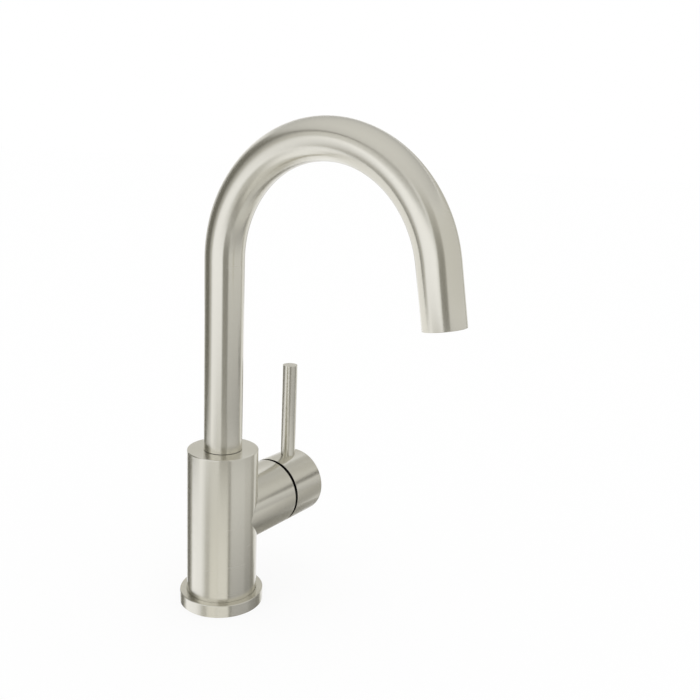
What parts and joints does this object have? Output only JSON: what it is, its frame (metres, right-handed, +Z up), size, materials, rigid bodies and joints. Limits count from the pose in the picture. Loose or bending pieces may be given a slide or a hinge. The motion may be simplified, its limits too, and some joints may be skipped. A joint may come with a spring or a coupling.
{
  "type": "bathroom sink faucet",
  "caption": "Single-lever bathroom sink faucet: a round body on a base flange, a side valve arm with an upright lever, and a swivelling gooseneck spout.",
  "frame": {"origin": "centre of the base flange's underside, on the deck and on the body's axis", "axes": "+Z up along the body, -Y the way the spout reaches, +X along the valve arm towards the handle"},
  "size_m": [0.1097, 0.196, 0.3195],
  "materials": {
    "satin_nickel": "brushed satin nickel plate over brass",
    "raw_brass": "turned, unplated",
    "screw_steel": "bright steel",
    "acetal": "natural acetal",
    "cartridge_plastic": "moulded grey",
    "dark_plastic": "moulded dark grey",
    "ceramic": "lapped alumina",
    "seal_rubber": "smooth black"
  },
  "bodies": {
    "body": {"body_casting": "satin_nickel", "valve_arm": "satin_nickel", "base_flange": "satin_nickel", "base_gasket": "seal_rubber", "swivel_bearing_ring": "acetal", "spout_retaining_screw": "screw_steel", "cartridge_housing": "cartridge_plastic", "cartridge_base": "dark_plastic", "port_seals": "seal_rubber", "disc_seals": "seal_rubber", "fixed_disc": "ceramic", "retaining_nut": "raw_brass", "bonnet_dome": "dark_plastic"},
    "spout": {"spout_tube": "satin_nickel", "spout_foot": "raw_brass", "spout_o_rings": "seal_rubber", "aerator_adapter": "raw_brass", "aerator_shell": "cartridge_plastic", "aerator_screen": "cartridge_plastic", "aerator_flow_regulator": "acetal", "aerator_washer": "seal_rubber"},
    "turret": {"turret": "acetal", "pivot_pin": "screw_steel"},
    "handle": {"stem": "raw_brass", "handle_hub": "satin_nickel", "lever": "satin_nickel", "handle_set_screw": "screw_steel", "set_screw_plug": "cartridge_plastic"},
    "disc_carriage": {"disc_carrier": "acetal", "moving_disc": "ceramic"}
  },
  "joints": [
    {"name": "spout_swivel", "type": "hinge", "parent": "body", "child": "spout", "pos_m": [0, 0, 0.1], "axis": [0, 0, 1], "range_deg": [-60, 60]},
    {"name": "temperature_turn", "type": "hinge", "parent": "body", "child": "turret", "pos_m": [0.0342, 0, 0.0608], "axis": [1, 0, 0], "range_deg": [-45, 45]},
    {"name": "flow_tilt", "type": "hinge", "parent": "turret", "child": "handle", "pos_m": [0.0342, 0, 0.0608], "axis": [0, 1, 0], "range_deg": [0, 20]},
    {"name": "disc_slide", "type": "slide", "parent": "turret", "child": "disc_carriage", "axis": [0, 0, 1], "range_m": [0, 0.0028]}
  ],
  "couplings": [
    {"joint": "disc_slide", "follows": "flow_tilt", "m_per_rad": 0.0078385}
  ]
}
